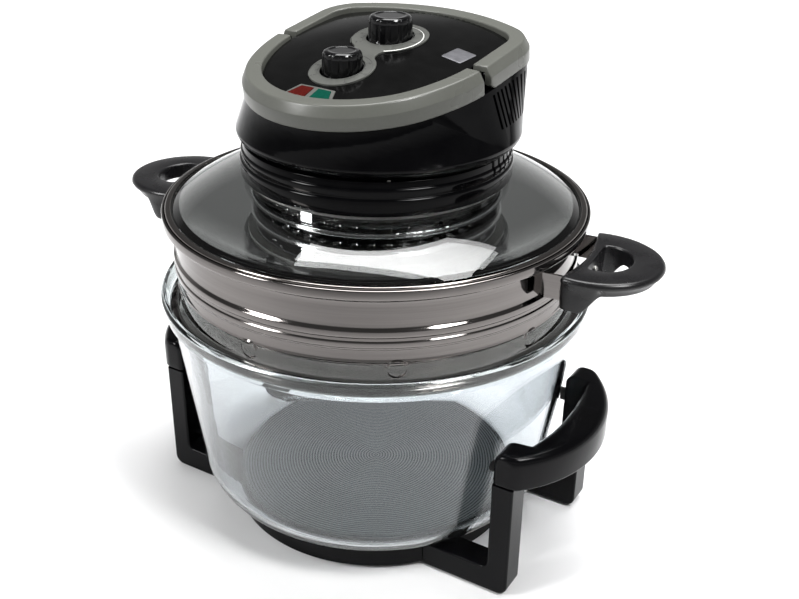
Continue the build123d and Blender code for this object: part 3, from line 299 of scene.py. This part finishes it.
def skin(name, grids, body, slot, hides=(), sharp=40.0, paint=None):
    """A mesh from grids of points (mm): neighbours make four-sided faces, points that meet are
    merged, open ends are filled, and each shell is turned outwards. It rides on body and
    hides CAD nodes. Its material is paint where that differs from the slot's own."""
    same_place, no_length = 1e-6, 1e-7
    mesh = bpy.data.meshes.new(name)
    points, faces, base = [], [], 0
    for grid in grids:
        rows, cols = grid.shape[:2]
        index = base + np.arange(rows * cols).reshape(rows, cols)
        quads = np.stack([index[:-1, :-1], index[1:, :-1], index[1:, 1:], index[:-1, 1:]], -1)
        points.append(grid.reshape(-1, 3))
        faces.append(quads.reshape(-1, 4))
        base += rows * cols
    mesh.from_pydata(np.vstack(points) * MM, [], np.vstack(faces))
    shell = bmesh.new()
    shell.from_mesh(mesh)
    bmesh.ops.remove_doubles(shell, verts=shell.verts, dist=same_place)
    bmesh.ops.dissolve_degenerate(shell, edges=shell.edges, dist=no_length)
    bmesh.ops.holes_fill(shell, edges=[e for e in shell.edges if e.is_boundary])
    bmesh.ops.recalc_face_normals(shell, faces=shell.faces)
    shell.to_mesh(mesh)
    shell.free()
    mesh.polygons.foreach_set("use_smooth", np.ones(len(mesh.polygons), bool))
    mesh.set_sharp_from_angle(angle=np.radians(sharp))
    piece = bpy.data.objects.new(name, mesh)
    bpy.context.scene.collection.objects.link(piece)
    mesh.materials.append(surface[paint or slot])
    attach(piece, body)
    if hides:
        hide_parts(*hides)
    return piece


def turned(loop, around=256, centre=(0.0, 0.0)):
    """A ring: the outline (radius, height) carried round Z, x = r cos a, y = r sin a, in equal
    steps or at the angles given."""
    a = np.linspace(0, 2 * np.pi, around + 1) if np.isscalar(around) else around
    r, z = loop[:, :1], loop[:, 1:]
    return np.stack([centre[0] + r * np.cos(a), centre[1] + r * np.sin(a), z + 0 * a], -1)


def spin(points, angle):
    """Points turned about Z."""
    c, s = np.cos(angle), np.sin(angle)
    return points @ np.array([[c, s, 0], [-s, c, 0], [0, 0, 1]])


def on_deck(points):
    """Points of the deck's own frame (x, y, height) tipped by the slope, raised and turned."""
    x, y, h = points[..., 0], points[..., 1], points[..., 2]
    c, s = np.cos(TILT), np.sin(TILT)
    return spin(np.stack([x, y * c - h * s, DECK_Z + y * s + h * c], -1), HEAD_TURN)


def egg(count):
    """The top's outline on the deck: a path whose heading is straight-line in arc length over
    five tangent arcs (nose, flank, a straight, rear corner, back), summed to points, mirrored
    for the other half. Gives points and outward normals, from the front middle round by +X."""
    half_width, nose, straight, corner, back, front_y = 91, 85, 38, 35, 158, -100.5
    sweep = np.radians(65)
    flank = (half_width - nose * np.sin(sweep)) / (1 - np.sin(sweep))
    tail = np.arcsin((half_width - corner) / (back - corner))
    turns = np.array([sweep, np.pi / 2 - sweep, 0, np.pi / 2 - tail, tail])
    lengths = np.array([nose * sweep, flank * (np.pi / 2 - sweep), straight, corner * (np.pi / 2 - tail),
                        back * tail])
    run, bend = np.r_[0, np.cumsum(lengths)], np.r_[0, np.cumsum(turns)]
    s = np.linspace(0, run[-1], 4001)
    heading = np.interp(s, run, bend)
    step = s[1] - s[0]
    mid = (heading[1:] + heading[:-1]) / 2
    x, y = np.r_[0, np.cumsum(np.cos(mid)) * step], front_y + np.r_[0, np.cumsum(np.sin(mid)) * step]
    at = np.linspace(0, run[-1], count // 2 + 1)
    half = np.stack([np.interp(at, s, x), np.interp(at, s, y)], 1)
    out = np.stack([np.sin(np.interp(at, s, heading)), -np.cos(np.interp(at, s, heading))], 1)
    flip = np.array([-1, 1])
    return np.vstack([half, half[-2::-1] * flip]), np.vstack([out, out[-2::-1] * flip])


# ---- bowl, ring and lid -------------------------------------------------------------
def bowl():
    """The bowl's wall outline carried round Z: flat floor, round corner, flared wall, heavy lip.
    The wall's outside has radius 158.5 mm at height 180 and narrows by 0.13 mm a mm below."""
    wall = lambda z: 158.5 - 0.13 * (180 - z)
    thick, underside = 5, 21.8
    inner = underside + thick
    loop = eased([
        (0, underside), (wall(underside), underside, 34), (158.5, 180, 3), (162.8, 181.5, 1.5),
        (165, 193.1, 1.8), (163, 195.3, 1.6), (160.6, 195.3, 0.6), (160.2, 184, 1.5),
        (wall(184) - thick, 184, 0.8), (wall(inner) - thick, inner, 29), (0, inner),
    ], 9)
    return skin("bowl_wall", [turned(spaced(loop, 5), 288)], "bowl", "bowl_glass", ["glass_bowl"])


def ring_wall():
    """The ring's sheet outline carried round Z: foot, skirt with a crease, two beads, band and
    rolled top. Nine flat-topped discs are pressed out of the skirt: 0.8 mm x a smooth step
    that falls from 1 at 6 mm to 0 at 7.2 mm from each centre; the mesh is finer there."""
    loop = eased([
        (157.5, 184.2), (157.5, 185.2), (153, 185.2, 2), (150.2, 190, 3), (150.2, 203.2, 0.6),
        (151.2, 204.6, 0.5), (150.9, 206.4, 0.5), (150.6, 214.2, 1), (152.9, 215.8, 1.2), (152.9, 219.6, 1.2),
        (151.6, 221, 0.7), (151.6, 222, 0.7), (152.9, 223.6, 1.2), (152.9, 227.6, 1.2), (151, 229.8, 1),
        (151, 249, 2), (159.3, 253.4, 1.6), (159.3, 259.8, 1), (157.6, 260.4, 0.5),
        (157.4, 259.4), (157.4, 253.9, 0.6), (150, 250.6, 2), (150, 229.6, 0.8), (152, 228.1, 0.8),
        (152, 213.9, 0.8), (149, 212.4, 0.8), (149, 189.6, 2), (152.4, 184.2, 1),
    ], 4)
    skirt, disc_z, disc_edge, fade, pressed, first = 150, 199.3, 7.2, 1.2, 0.8, -17.5
    near = np.radians(first + 40 * np.arange(1, 10))[:, None] + np.linspace(-8.05, 8.05, 24) / skirt
    round_z = np.unique(np.r_[np.linspace(0, 2 * np.pi, 261), near.ravel()])
    grid = turned(spaced(loop, 4, (149.8, 191.5, 207)), round_z)
    a = np.arctan2(grid[..., 1], grid[..., 0]) - np.radians(first)
    gap = (a + np.pi / 9) % (2 * np.pi / 9) - np.pi / 9
    r = np.hypot(grid[..., 0], grid[..., 1])
    fall = np.clip((disc_edge - np.hypot(gap * skirt, grid[..., 2] - disc_z)) / fade, 0, 1)
    push = np.where(r < 151.5, pressed * fall ** 2 * (3 - 2 * fall), 0) * (grid[..., 2] < 208)
    grid[..., :2] *= ((r + push) / r)[..., None]
    return skin("ring_wall", [spin(grid, RING_TURN)], "extender", "ring_steel", ["extender_ring"])


def rim_channel():
    """The lid's steel channel outline carried round Z."""
    loop = eased([
        (156.8, 254, 1.2), (156.8, 261.6, 1.4), (152.4, 261.6, 0.5), (152.4, 260.7), (155.8, 260.7, 0.5),
        (155.8, 256.7, 0.3), (152.4, 256.7), (152.4, 254),
    ], 6)
    return skin("rim_channel", [turned(spaced(loop, 2), 256)], "lid", "rim_steel", ["lid_rim"])


def lid_pane():
    """The domed pane: an arc of 124.9 mm radius about (79.4, 158.2) in the section and the same
    arc 4 mm lower, joined at the hole and at a flat edge, carried round Z."""
    centre, dome, thick = np.array([79.423, 158.227]), 124.857, 4.0
    low, top = np.array([150.9, 260.6]) - centre, np.array([84, 283]) - centre
    ang = np.linspace(np.arctan2(low[1], low[0]), np.arctan2(top[1], top[0]), 40)
    upper = centre + np.stack([np.cos(ang), np.sin(ang)], 1) * dome
    lower = upper[::-1] - [0, thick]
    edge = np.array([(150.9, 256.8), (155.6, 256.8), (155.6, 260.6), (150.9, 260.6)])
    loop = np.vstack([upper, lower, edge[:3]])
    return skin("lid_pane", [turned(loop, 256)], "lid", "lid_glass", ["lid_glass"], 50)


def grip_loop(side):
    """A grip: at each angle about its finger hole, a ray meets the hole (an ellipse cut square
    at the root) and the outer edge (an ellipse cut by the ring's circle), corners rounded by
    a power mean of the distances. A rounded section joins the two, flat on top and deeper at
    the root: its underside falls smoothly from 236 to 224 mm as x goes from 188 to 175."""
    t = np.linspace(0, 2 * np.pi, 181)
    c, s = np.cos(t), np.sin(t)
    x0, ring_radius = 181.0, 165.4

    def exit_of(cx, a, b):
        p, q, w = c * c / a ** 2 + s * s / b ** 2, (x0 - cx) * c / a ** 2, (x0 - cx) ** 2 / a ** 2 - 1
        return (-q + np.sqrt(q * q - p * w)) / p
    both = lambda one, two, k: (one ** -k + two ** -k) ** (-1 / k)
    reach = np.clip((ring_radius ** 2 - (x0 * s) ** 2), 0, None)
    ring = np.where((c < 0) & (reach > 0), -x0 * c - np.sqrt(reach), 1e4)
    outer = both(exit_of(172.0, 48.0, 45.0), np.clip(ring, 1, 1e4), 22.0)
    hole = both(exit_of(178.0, 19.5, 21.5), np.where(c < 0, 9.5 / np.maximum(-c, 1e-3), 1e4), 10.0)
    arc = lambda r, a0, a1: [(r * (1 - np.cos(a)), r * (1 - np.sin(a)))
                             for a in np.radians(np.linspace(a0, a1, 5))]
    # the section's points: share of the outer edge, step from it, share of the top, step from it
    form = [(1, -e, 1, -h) for e, h in arc(3.4, 0, 90)] + [(0, e, 1, -h) for e, h in arc(1.8, 90, 0)]
    form += [(0, e, 0, h) for e, h in arc(1.6, 0, 90)] + [(1, -e - 5.0, 0, h) for e, h in arc(2.4, 90, 0)]
    form += [(1, -1.3, 0.5, 1.0), (1, -0.9, 1, -5.0)]
    f, e, g, h = np.array(form + form[:1]).T[:, None, :]
    rim = x0 + outer * c
    soft = np.clip((rim - 172) / 16, 0, 1)[:, None]
    e = np.where((f > 0.5) & (g < 0.75), e * (0.25 + 0.75 * soft), e)
    d = hole[:, None] * (1 - f) + outer[:, None] * f + e
    x, y = x0 + d * c[:, None], d * s[:, None]
    u = np.clip((x - 175) / 13, 0, 1)
    top, underside = 248, 224 + 12 * u * u * (3 - 2 * u)
    z = underside * (1 - g) + top * g + h
    grid = spin(np.stack([x, y, z], -1), RING_TURN + (0 if side == "right" else np.pi))
    return skin(side + "_grip_loop", [grid], "extender", "grip_plastic", [side + "_grip"], 50)


def stand_bow(side):
    """A bow handle in sections along Y: the outside is an arc of 100.5 mm radius, the inside
    one of 182 mm that steps in at each end to cap the upright. Corners are arcs, the upper
    ones large; near the ends every side draws in by a quarter round of 4 mm."""
    sign = 1 if side == "right" else -1
    end, ease = 73.8, 4
    half = np.r_[np.linspace(0, 49, 26), np.linspace(50, 55, 11), np.linspace(57, 69, 7),
                 end - ease * (1 - np.sin(np.linspace(0.1, np.pi / 2, 7)))]
    y = np.r_[-half[:0:-1], half]
    far = np.clip((np.abs(y) - (end - ease)) / ease, 0, 1)
    draw = ease * (1 - np.sqrt(1 - far ** 2))
    step = np.clip((np.abs(y) - 50.2) / 3.6, 0, 1)
    step = step * step * (3 - 2 * step)
    out = 92.04 + np.sqrt(100.46 ** 2 - np.clip(np.abs(y), 0, end) ** 2) - draw
    inn = (-16.5 + np.sqrt(182.0 ** 2 - y ** 2)) * (1 - step) + 143.2 * step + draw
    low, top = 97.0 + 0.6 * draw, 124.0 - draw
    wide = out - inn
    r_out, r_in = np.minimum(7.0, 0.42 * wide), np.minimum(8.0, 0.42 * wide)
    # each corner: place, radius, its arc's first and last angle, the way to the arc's centre
    corners = [(out, top, r_out, 0, 90, -1, -1), (inn, top, r_in, 90, 180, 1, -1),
               (inn, low, 0 * wide + 1.5, 180, 270, 1, 1), (out, low, 0 * wide + 2.2, 270, 360, -1, 1)]
    xs, zs = [], []
    for cx, cz, r, a0, a1, sx, sz in corners:
        a = np.radians(np.linspace(a0, a1, 8))[None]
        xs.append((cx + sx * r)[:, None] + r[:, None] * np.cos(a))
        zs.append((cz + sz * r)[:, None] + r[:, None] * np.sin(a))
    x, z = np.hstack(xs + [xs[0][:, :1]]), np.hstack(zs + [zs[0][:, :1]])
    grid = np.stack([sign * x, y[:, None] + 0 * x, z], -1)
    caps = [row[:-1].mean(0) + (row - row[:-1].mean(0)) * np.array([0, 0.5])[:, None, None]
            for row in (grid[0], grid[-1])]
    grid = np.vstack([caps[0], grid, caps[1][::-1]])
    return skin(side + "_bow", [grid], "stand", "stand_plastic", [side + "_stand_handle"], 50)


# ---- head ---------------------------------------------------------------------------
def collar_shell():
    """The collar's stepped outline carried round Z, down to the floor that carries the motor.
    Louvres 2.4 mm wide, one every five degrees round the rear half, are cut in to 96.6 mm."""
    louvre_floor, louvre_low, half_angle = 96.6, 298.6, 0.7
    loop = eased([
        (100.2, 284.8, 1.8), (100.5, 296.8, 2.0), (99.0, 297.4, 0.3), (99.6, 303.8, 2.0), (98.1, 304.4, 0.3),
        (97.8, 309, 0.4), (91.5, 309), (91.5, 316), (89, 316), (89, 291, 2), (30, 291), (30, 288.6),
        (84.5, 288.6), (84.5, 284.8),
    ], 7)
    grid = turned(spaced(loop, 3), 720)
    a = np.degrees(np.arctan2(grid[..., 1], grid[..., 0]))
    r = np.hypot(grid[..., 0], grid[..., 1])
    cut = (np.abs((a + 2.5) % 5 - 2.5) < half_angle) & (a > -1) & (a < 181)
    cut = cut & (r > louvre_floor) & (grid[..., 2] > louvre_low)
    grid[..., :2] *= np.where(cut, louvre_floor / np.maximum(r, 1), 1)[..., None]
    return skin("collar_shell", [spin(grid, HEAD_TURN)], "lid", "gloss_black", ["collar"])


def trim_sweep(keep, low, slot_end):
    """The trim's section (outer wall, sloping shoulder, flat top) carried along the outline
    where keep(y) holds; each station's lower edge is at low(y). Forward of slot_end a slot
    4.8 mm wide runs up inside to 13 mm, for the housing's lugs. The ends draw in a little."""
    count, top, crease, slot_roof = 560, 16.9, 9.7, 13.0
    path, out = egg(count)
    path, out = np.roll(path[:-1], count // 2, 0), np.roll(out[:-1], count // 2, 0)
    if keep(np.array([100.0])):
        path, out = np.roll(path, count // 2, 0), np.roll(out, count // 2, 0)
    held = keep(path[:, 1])
    path, out = path[held], out[held]
    floor = low(path[:, 1])
    base = eased([(0, 0, 1.0), (0, crease, 1.6), (3.7, top, 2.0), (14.7, top, 1.2), (14.7, 0, 0.6)], 7)
    at_floor, at_roof = -1.0, -2.0
    slot = np.array([(9.9, at_floor), (9.9, at_roof), (5.1, at_roof), (5.1, at_floor)])
    inset, height = np.vstack([base, slot]).T
    frac = np.clip(height / top, 0, 1)
    rise = floor[:, None] + (top - floor[:, None]) * frac[None]
    rise = np.where(height[None] > 9.0, height[None], np.minimum(rise, crease))
    roof = np.where(path[:, 1] < slot_end, slot_roof, floor + 0.02)
    rise = np.where(height[None] == at_roof, roof[:, None], rise)
    xy = path[:, None] - out[:, None] * inset[None, :, None]
    grid = np.concatenate([xy, rise[..., None]], -1)
    grid = np.concatenate([grid, grid[:, :1]], 1)
    caps = []
    for row, way in ((grid[0], path[0] - path[1]), (grid[-1], path[-1] - path[-2])):
        middle = row[:-1].mean(0)
        way = np.append(way / np.linalg.norm(way), 0)
        caps.append(np.stack([middle + (row - middle) * k + way * push
                              for k, push in ((0.93, 1.0), (0.955, 0.85), (0.985, 0.45))]))
    return on_deck(np.vstack([caps[0], grid, caps[1][::-1]]))


def front_trim_band():
    """The fixed front half of the trim, flat below, with no slot."""
    no_slot = -200.0
    grid = trim_sweep(lambda y: y < -3.5, lambda y: 0 * y, no_slot)
    return skin("front_trim_band", [grid], "lid", "trim_grey", ["front_trim"])


def bail():
    """The swinging rear half: before the hinge line its foot is a round of 7.4 mm about it, and
    behind it the underside is flat, 0.55 mm above the deck."""
    hinge_y, hinge_h, foot, slot_end = 12.4, 7.8, 7.4, 17.6

    def low(y):
        near = np.clip(hinge_y - y, 0, foot)
        return np.where(y < hinge_y, hinge_h - np.sqrt(foot ** 2 - near ** 2), 0.55)
    grid = trim_sweep(lambda y: y > 6.0, low, slot_end)
    return skin("bail_band", [grid], "safety_handle", "trim_grey", ["safety_handle"])


def knob_skin(name, y, top_z, radius):
    """A knob: flange, body that narrows slowly, rounded shoulder and a dished top, carried
    round its own upright axis. Twelve grooves run up the side: 0.8 mm deep where the cosine
    of twelve times the angle nears 1."""
    tall, groove = 20, 0.8
    body = radius - 0.2
    drawn_in = np.array([0.1, 0.2, 0.3, 0.4, 0.5, 0.7, 1.1, 1.9, 3.1, 4.2, 5.2, 5.8, 6.6])
    r = np.r_[0, radius + 0.3, radius + 0.3, body - drawn_in, 0]
    h = np.array([0, 0, 1.8, 2.4, 3.4, 8, 12, 15.6, 16.8, 18.2, 19.3, 19.85, tall, 19.9, 19.6, 19.5, 19.5])
    run = np.linspace(0, len(h) - 1, 97)
    loop = np.stack([np.interp(run, np.arange(len(h)), r), np.interp(run, np.arange(len(h)), h)], 1)
    grid = turned(loop, 240)
    a = np.arctan2(grid[..., 1], grid[..., 0])
    rr = np.hypot(grid[..., 0], grid[..., 1])
    dip = np.clip((np.cos(12 * a) - 0.2) / 0.8, 0, 1) ** 2
    side = np.clip((grid[..., 2] - 2.6) / 1.5, 0, 1) * np.clip((19.0 - grid[..., 2]) / 1.6, 0, 1)
    grid[..., :2] *= (1 - groove * dip * side / np.maximum(rr, 1))[..., None]
    grid = spin(grid + [0, y, top_z - tall], HEAD_TURN)
    return skin(name + "_cap", [grid], name + "_knob", "knob_black", [name + "_knob"], 50)


def on_plate(points, lift):
    """Points (x, y) of the deck's frame on the dial plate's crown, raised by lift (mm): the
    crown falls by the squared distance from its top / (2 x 560 mm)."""
    x, y = points[..., 0], points[..., 1]
    return on_deck(np.stack([x, y, PANEL_H - (x * x + (y - PANEL_Y) ** 2) / (2 * PANEL_R) + lift], -1))


def stroke(path, half, low=0.9, high=1.12):
    """A printed line: a thin box section carried along a path, its width 2 x half, closed by
    its own first and last sections shrunk to their middle."""
    way = np.gradient(path, axis=0)
    way /= np.linalg.norm(way, axis=1)[:, None]
    across = np.stack([-way[:, 1], way[:, 0]], 1) * np.broadcast_to(half, len(path))[:, None]
    left, right = path - across, path + across
    rows = np.stack([on_plate(left, low), on_plate(right, low), on_plate(right, high), on_plate(left, high),
                     on_plate(left, low)], 1)
    ends = [np.broadcast_to(row[:-1].mean(0), row.shape)[None] for row in (rows[0], rows[-1])]
    return np.vstack([ends[0], rows, ends[1]])


def dial_scale(name, y, knob, plate, first, last, count):
    """Round each knob: a thin dark circle, ticks from first to last degrees, long ones where
    numbers stand, and a border line just inside the plate's edge."""
    polar = lambda r, a: np.stack([r * np.cos(np.radians(a)), y + r * np.sin(np.radians(a))], -1)
    line, tick, start = 0.16, 0.22, knob + 2.2
    circle = np.linspace(first, last, 90)
    dark = [stroke(polar(knob + 1.7, circle), line), stroke(polar(plate - 1.0, circle), line)]
    for i, angle in enumerate(np.linspace(first, last, count)):
        long = 2.0 if i % 2 == 0 else 1.2
        dark.append(stroke(polar(np.array([start, start + long]), np.array([angle, angle])), tick))
    skin(name + "_scale", dark, "lid", "dial_grey", (), 30, "dark_ink")


def heat_arc():
    """The thermostat's white arc: a line that widens evenly from 0.3 to 1.3 mm as it runs
    round the dial's right side."""
    radius, a = 25.6, np.radians(np.linspace(80, -62, 60))
    path = np.stack([radius * np.cos(a), THERMOSTAT_Y + radius * np.sin(a)], 1)
    widening = np.linspace(0.15, 0.6, 60)
    skin("heat_arc", [stroke(path, widening)], "lid", "dial_grey", (), 30, "white_ink")


def numerals(name, y, radius, first, last, labels):
    """Dial numbers: each text is made a mesh, laid at its angle and pressed on the crown."""
    flats = []
    for label, angle in zip(labels, np.radians(np.linspace(first, last, len(labels)))):
        text = bpy.data.curves.new(name, "FONT")
        text.body, text.size, text.extrude = label, 2.6, 0.1
        text.align_x, text.align_y = "CENTER", "CENTER"
        text.resolution_u = 3
        holder = bpy.data.objects.new(name, text)
        flat = bpy.data.meshes.new_from_object(holder)
        points = np.empty(len(flat.vertices) * 3)
        flat.vertices.foreach_get("co", points)
        points = points.reshape(-1, 3)
        where = points[:, :2] + [radius * np.cos(angle), y + radius * np.sin(angle)]
        flat.vertices.foreach_set("co", (on_plate(where, 1.0 + points[:, 2]) * MM).ravel())
        flats.append(flat)
        bpy.data.objects.remove(holder)
    joined = bmesh.new()
    for flat in flats:
        joined.from_mesh(flat)
    mesh = bpy.data.meshes.new(name)
    joined.to_mesh(mesh)
    joined.free()
    mesh.materials.append(surface["dark_ink"])
    piece = bpy.data.objects.new(name, mesh)
    bpy.context.scene.collection.objects.link(piece)
    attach(piece, "lid")


def rating_plate():
    """A bare plate, 17 x 18 mm with rounded corners, on the panel by the right hinge: an
    outline shrunk to its middle on top and carried down at the edge."""
    wide, deep, corner, place, turn = 8.5, 9, 1.2, [59.2, 15.8], np.radians(-8)
    loop = eased([(x * wide, y * deep, corner) for x, y in ((-1, -1), (1, -1), (1, 1), (-1, 1))], 6)
    loop = np.vstack([loop, loop[:1]])
    c, s = np.cos(turn), np.sin(turn)
    loop = loop @ np.array([[c, s], [-s, c]])
    rows = [on_plate(loop * k + place, h) for k, h in
            ((0, -0.1), (1, -0.1), (1, 0.28), (0.985, 0.36), (0.9, 0.38), (0.5, 0.38), (0, 0.38))]
    return skin("rating_plate", [np.stack(rows)], "lid", "zinc_steel", (), 40, "plate")


# ---- make it ------------------------------------------------------------------------
studio()
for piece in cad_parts.values():
    for held in piece.material_slots:
        held.material = surface[held.material.name.split(".")[0]]

bowl()
ring_wall()
rim_channel()
lid_pane()
collar_shell()
front_trim_band()
bail()
for side in ("right", "left"):
    grip_loop(side)
    stand_bow(side)
knob_skin("timer", TIMER_Y, 379.5, TIMER_R)
knob_skin("thermostat", THERMOSTAT_Y, 393.0, THERMOSTAT_R)
dial_scale("timer", TIMER_Y, TIMER_R, 23.1, 225, -45, 13)
dial_scale("thermostat", THERMOSTAT_Y, THERMOSTAT_R, 27.8, 225, -45, 13)
numerals("timer_numbers", TIMER_Y, 20.4, 225, -45, ["0", "10", "20", "30", "40", "50", "60"])
numerals("thermostat_numbers", THERMOSTAT_Y, 22.9, 225, -45, ["0", "75", "100", "125", "150", "200", "250"])
heat_arc()
rating_plate()
